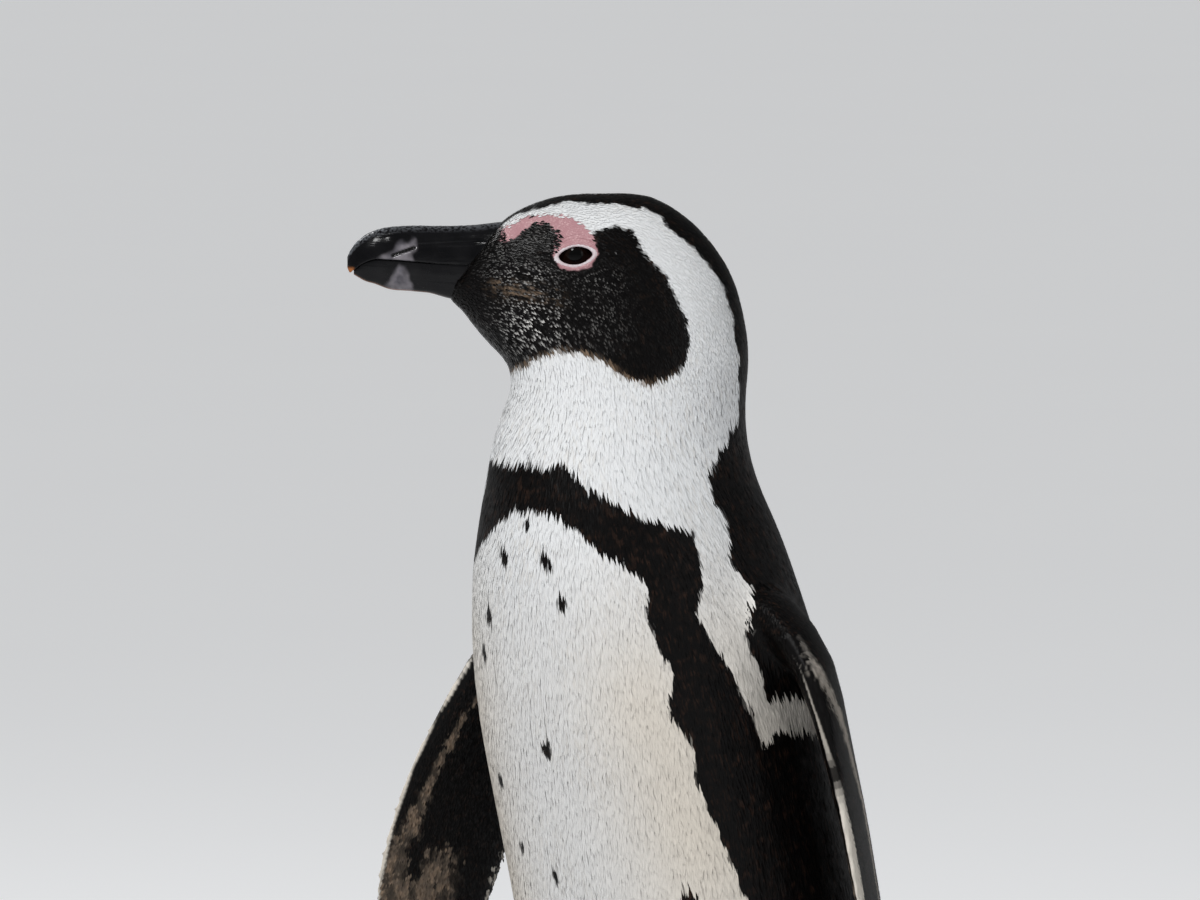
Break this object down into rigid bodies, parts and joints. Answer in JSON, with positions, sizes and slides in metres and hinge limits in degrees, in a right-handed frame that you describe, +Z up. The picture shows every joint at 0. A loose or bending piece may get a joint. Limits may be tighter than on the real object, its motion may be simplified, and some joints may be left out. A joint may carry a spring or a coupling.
{
  "type": "African penguin, still life-size model",
  "caption": "African penguin standing upright, head turned to its right, flippers held a little out, on webbed feet: a still model.",
  "frame": {"origin": "on the floor, under the middle of the bird's bounding box", "axes": "+Z up; the body faces -Y, so the bird's left side is at +X; the head is turned 46 degrees to the bird's right"},
  "size_m": [0.2488, 0.2264, 0.5401],
  "materials": {
    "feather_black": "matte",
    "feather_white": "matte",
    "bill": "gloss",
    "eye": "gloss",
    "foot_skin": "satin",
    "face_skin": "satin",
    "claw": "satin"
  },
  "bodies": {
    "root": {"bill_lower": "bill", "bill_upper": "bill", "claw_left_hind": "claw", "claw_left_inner": "claw", "claw_left_middle": "claw", "claw_left_outer": "claw", "claw_right_hind": "claw", "claw_right_inner": "claw", "claw_right_middle": "claw", "claw_right_outer": "claw", "eye_left": "eye", "eye_right": "eye", "flipper_left": "feather_black", "flipper_right": "feather_black", "foot_left": "foot_skin", "foot_right": "foot_skin", "head": "feather_black", "leg_left": "feather_white", "leg_right": "feather_white", "neck": "feather_white", "tail": "feather_black", "trunk": "feather_white"}
  },
  "joints": []
}
